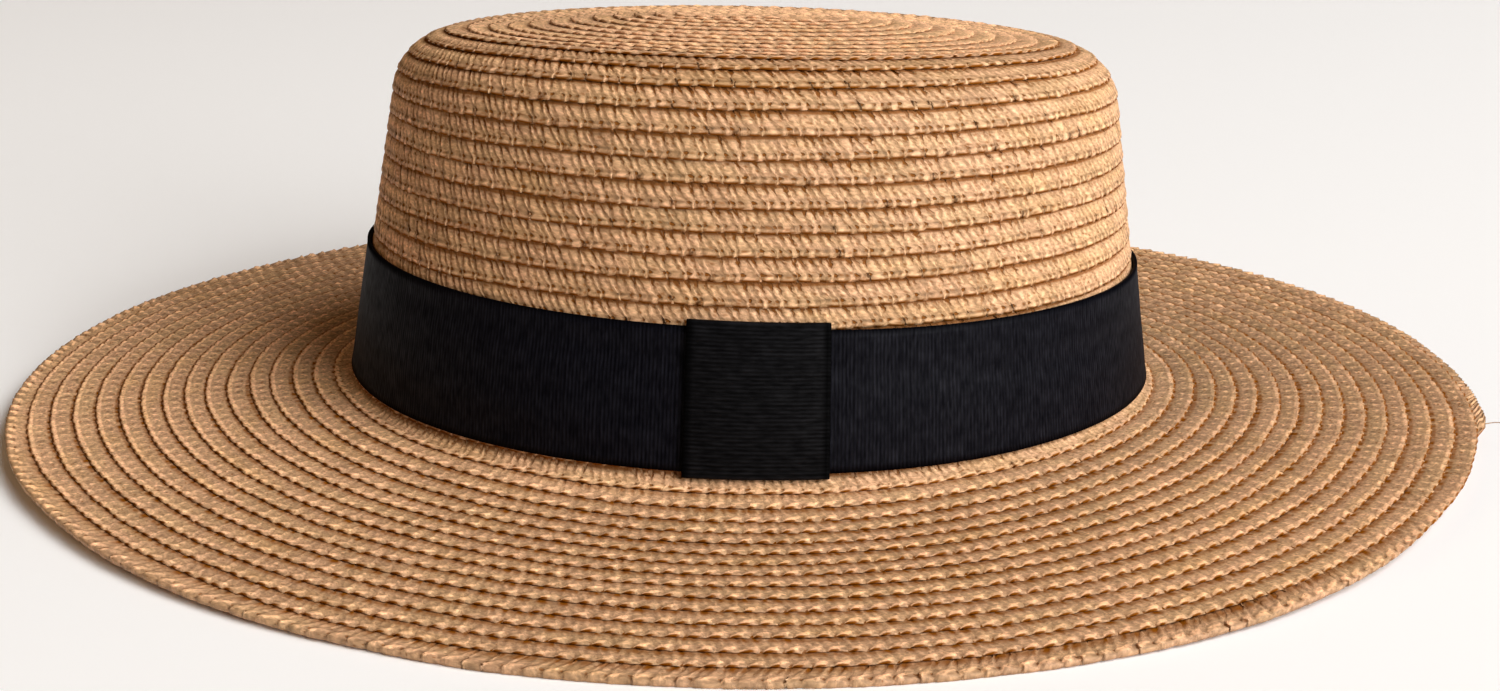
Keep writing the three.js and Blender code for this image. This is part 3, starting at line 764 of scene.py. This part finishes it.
def ribbon_band(material):
    """The ribbon round the crown: its outer face goes up in even steps and its inner face comes down again.
    Height off the straw is an even thickness, cords of |sin| along the length, a bead at each selvedge, and
    folds that are flat at both selvedges: long waves and creases that run mostly along the ribbon, and small
    wrinkles where it comes out from under the keeper."""
    at, phi = oval_course(FRONT, CORD / CORD_STEPS)
    at, phi = at[:-1, None], phi[:-1, None]
    rows_up = 18
    up = np.concatenate([np.linspace(0, 1, rows_up), [1, 0.5, 0]])[None, :]
    outer = np.arange(up.size)[None, :] < rows_up
    cords = CORD_HEIGHT * np.abs(np.sin(math.pi * at / CORD))
    bead = 0.12 * (bell(up, 0.03) + bell(up - 1, 0.03))

    way = at + WAY_BACK
    near = sum(much * bell(at - place, FOLDS_WIDE) for place, much in FOLDS)
    beside = np.exp(-np.clip(-at - RIBBON_WIDTH / 2, 0, None) / WRINKLES_WIDE) * (at < 0)
    waves = 0.6 * drift(way + 18 * up, 38.0, seed=21) * near
    creases = 0.45 * drift(30 * up + 0.05 * way, 6.0, seed=22) * near
    wrinkles = 0.9 * drift(22 * up + 0.12 * way, 3.2, seed=24) * drift(way, 9.0, seed=25) * beside
    folds = (waves + creases + wrinkles) * np.sin(math.pi * up)

    out = RIBBON_INNER + np.where(outer, RIBBON + cords + bead + folds, 0.0)
    point, normal = side_frame(phi, band_height(phi, up) + 0.25 * drift(way, 45.0, seed=23))
    sections = point + normal * out[..., None]
    across = (np.append(up, 0)[None, :] - 0.5) * RIBBON_WIDTH
    marks = np.stack(np.broadcast_arrays(at, across), -1)
    return sewn("ribbon_band", sections, marks, material, closed=True)


def keeper_path():
    """The keeper's path in the upright plane, from its lower end behind the band to its upper one: how far
    out of the straw, and the height from the band's lower edge. It is a flat front with a half round at each
    end, whose radius brings the two ends to KEEPER_BACK off the straw."""
    middle = RIBBON_INNER + RIBBON + KEEPER_GAP + RIBBON / 2
    radius = (middle - KEEPER_BACK) / 2
    low, high = radius - KEEPER_FOLD, RIBBON_WIDTH + KEEPER_FOLD - radius
    turn = np.linspace(0, math.pi, 9)[1:-1]
    cords = round((RIBBON_WIDTH + 2 * KEEPER_FOLD) / CORD)
    rise = np.linspace(low, high, cords * CORD_STEPS + 1)
    half_round = middle - radius - radius * np.cos(turn)
    out = np.concatenate([half_round, np.full(rise.size, middle), half_round[::-1]])
    height = np.concatenate([low - radius * np.sin(turn), rise, high + radius * np.sin(turn[::-1])])
    return np.stack([out, height], 1)


def ribbon_keeper(material):
    """The keeper: one strip of the same ribbon, upright, over the band and folded in behind its two edges.
    Its cords run level, and it is offset to both sides of its path by half its thickness. Across, it is a
    low parabola, with a bead at each selvedge."""
    path = keeper_path()
    along = travelled(path)
    tangent = np.gradient(path, axis=0)
    tangent /= np.linalg.norm(tangent, axis=1, keepdims=True)
    side = np.stack([tangent[:, 1], -tangent[:, 0]], 1)
    cords = CORD_HEIGHT * np.abs(np.sin(math.pi * along / CORD))
    front = path + side * (RIBBON / 2 + cords)[:, None]
    back = (path - side * RIBBON / 2)[::-BACK_EVERY]
    loop = np.concatenate([front, back])
    on_front = np.arange(len(loop)) < len(front)

    at, phi = oval_course(FRONT + KEEPER_X / (BASE_X**2 / BASE_Y), 0.75, KEEPER_WIDTH)
    at, phi = at[:, None], phi[:, None]
    step = loop[None, :, 1] / RIBBON_WIDTH
    bead = 0.1 * bell(np.abs(at) - KEEPER_WIDTH / 2, 0.8) * on_front
    puff = 0.25 * (1 - (at / (KEEPER_WIDTH / 2)) ** 2) * np.sin(math.pi * np.clip(step, 0, 1)) * on_front
    point, normal = side_frame(phi, band_height(phi, step))
    sections = point + normal * (loop[None, :, 0] + bead + puff)[..., None]
    way = np.concatenate([along, along[::-BACK_EVERY], [0]])
    marks = np.stack(np.broadcast_arrays(way[None, :], at), -1)
    return sewn("ribbon_keeper", sections, marks, material), along[-1]


def area_light(name, place, aim, size, power, colour):
    """A square soft light at place, turned to aim. Its size is in metres and its power in watts."""
    lamp = bpy.data.lights.new(name, "AREA")
    lamp.size, lamp.energy, lamp.color = size, power, linear(colour)[:3]
    light = bpy.data.objects.new(name, lamp)
    light.location = place
    way = Vector(aim) - Vector(place)
    light.rotation_euler = way.to_track_quat("-Z", "Y").to_euler()
    bpy.context.scene.collection.objects.link(light)


def studio():
    """A white floor, a dim warm surround, two large soft lights high and low on the right, a warm weaker one
    on the left, and a small one low on the right, which grazes the straw."""
    floor = bpy.data.meshes.new("floor")
    reach = 6.0
    floor_corners = [(-reach, -reach, 0), (reach, -reach, 0), (reach, reach, 0), (-reach, reach, 0)]
    floor.from_pydata(floor_corners, [], [(0, 1, 2, 3)])
    paint = bpy.data.materials.new("matt_white_paint")
    paint.use_nodes = True
    shader = paint.node_tree.nodes["Principled BSDF"]
    shader.inputs["Base Color"].default_value = linear("#FFFFFF")
    shader.inputs["Roughness"].default_value = 0.9
    floor.materials.append(paint)
    stage = bpy.data.objects.new("floor", floor)
    bpy.context.scene.collection.objects.link(stage)

    world = bpy.data.worlds.new("studio_surround")
    world.use_nodes = True
    sky = world.node_tree.nodes["Background"]
    sky.inputs["Color"].default_value = linear("#FFE8CC")
    sky.inputs["Strength"].default_value = 0.05
    bpy.context.scene.world = world

    aim = (0, 0, 0.05)
    area_light("key_high", (3.10, -1.25, 3.77), aim, 3.2, 208.0, "#FFFFFF")
    area_light("key_low", (3.17, -3.35, 1.95), aim, 3.2, 193.0, "#FFFFFF")
    area_light("fill", (-3.83, 0.0, 3.26), aim, 3.2, 34.0, "#FFCE96")
    area_light("side_low", (4.90, -0.60, 0.80), aim, 1.5, 15.0, "#FFFFFF")


def camera():
    """The camera, 0.57 m from the hat's middle, looking 18.4 degrees down and rolled by a quarter of a
    degree, with a 54 mm lens."""
    down, roll = math.radians(18.4), math.radians(0.278)
    ahead = Vector((0, math.cos(down), -math.sin(down)))
    right = Vector((1, 0, 0))
    up = right.cross(ahead)
    level = right * math.cos(roll) + up * math.sin(roll)
    upright = up * math.cos(roll) - right * math.sin(roll)
    lens = bpy.data.cameras.new("camera")
    lens.lens, lens.sensor_width, lens.sensor_fit = 54.02, 36.0, "HORIZONTAL"
    view = bpy.data.objects.new("camera", lens)
    place = Vector((0.000225, -0.5476, 0.1941))
    ways = Matrix((level, upright, -ahead)).transposed().to_4x4()
    view.matrix_world = Matrix.Translation(place) @ ways
    bpy.context.scene.collection.objects.link(view)
    bpy.context.scene.camera = view


# Each piece of the braid: its name, the s of its first row's outer edge, how many steps go to a section, and
# the node it stands for.
BRAID_PIECES = (
    ("tip_braid", FIRST_LIP, 1, "crown"),
    ("rim_braid", 58.0, 1, "crown"),
    ("side_braid", 92.0, 1, "crown"),
    ("foot_braid", 127.5, 3, "crown"),
    ("inner_brim_braid", 147.0, 1, "brim"),
    ("middle_brim_braid", 181.0, 1, "brim"),
    ("outer_brim_braid", 209.0, 1, "brim"),
)

straw = paper_straw()
course = braid_course()
lip = course[2]
# Pieces meet at the high side of a strand, which is the third section of each three.
reached = [int(np.argmax(lip >= begin)) for _, begin, _, _ in BRAID_PIECES]
starts = [max(FIRST_SECTION, 3 * (number // 3) + 2) for number in reached] + [len(lip) - 1]
for (name, _, every, stands_for), first, last in zip(BRAID_PIECES, starts, starts[1:]):
    rows = np.unique(np.append(np.arange(first, last, every), last))
    sections, marks, plaited = braid_sections(course, rows)
    piece = sewn(name, sections, marks, straw)
    store = piece.data.attributes.new("plait", "FLOAT_COLOR", "POINT").data
    store.foreach_set("color", plaited.astype(np.float32).ravel())
    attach(piece, "root")
    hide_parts(stands_for)

thread = loose_thread(straw)
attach(thread, "root")
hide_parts("brim")

band = ribbon_band(grosgrain("black_grosgrain", "#030305", "#181820"))
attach(band, "root")
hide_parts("band")

keeper, keeper_length = ribbon_keeper(grosgrain("black_grosgrain_upright", "#030303", "#151518"))
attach(keeper, "root")
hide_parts("band_keeper")

studio()
camera()
bpy.context.scene.view_settings.view_transform = "Standard"
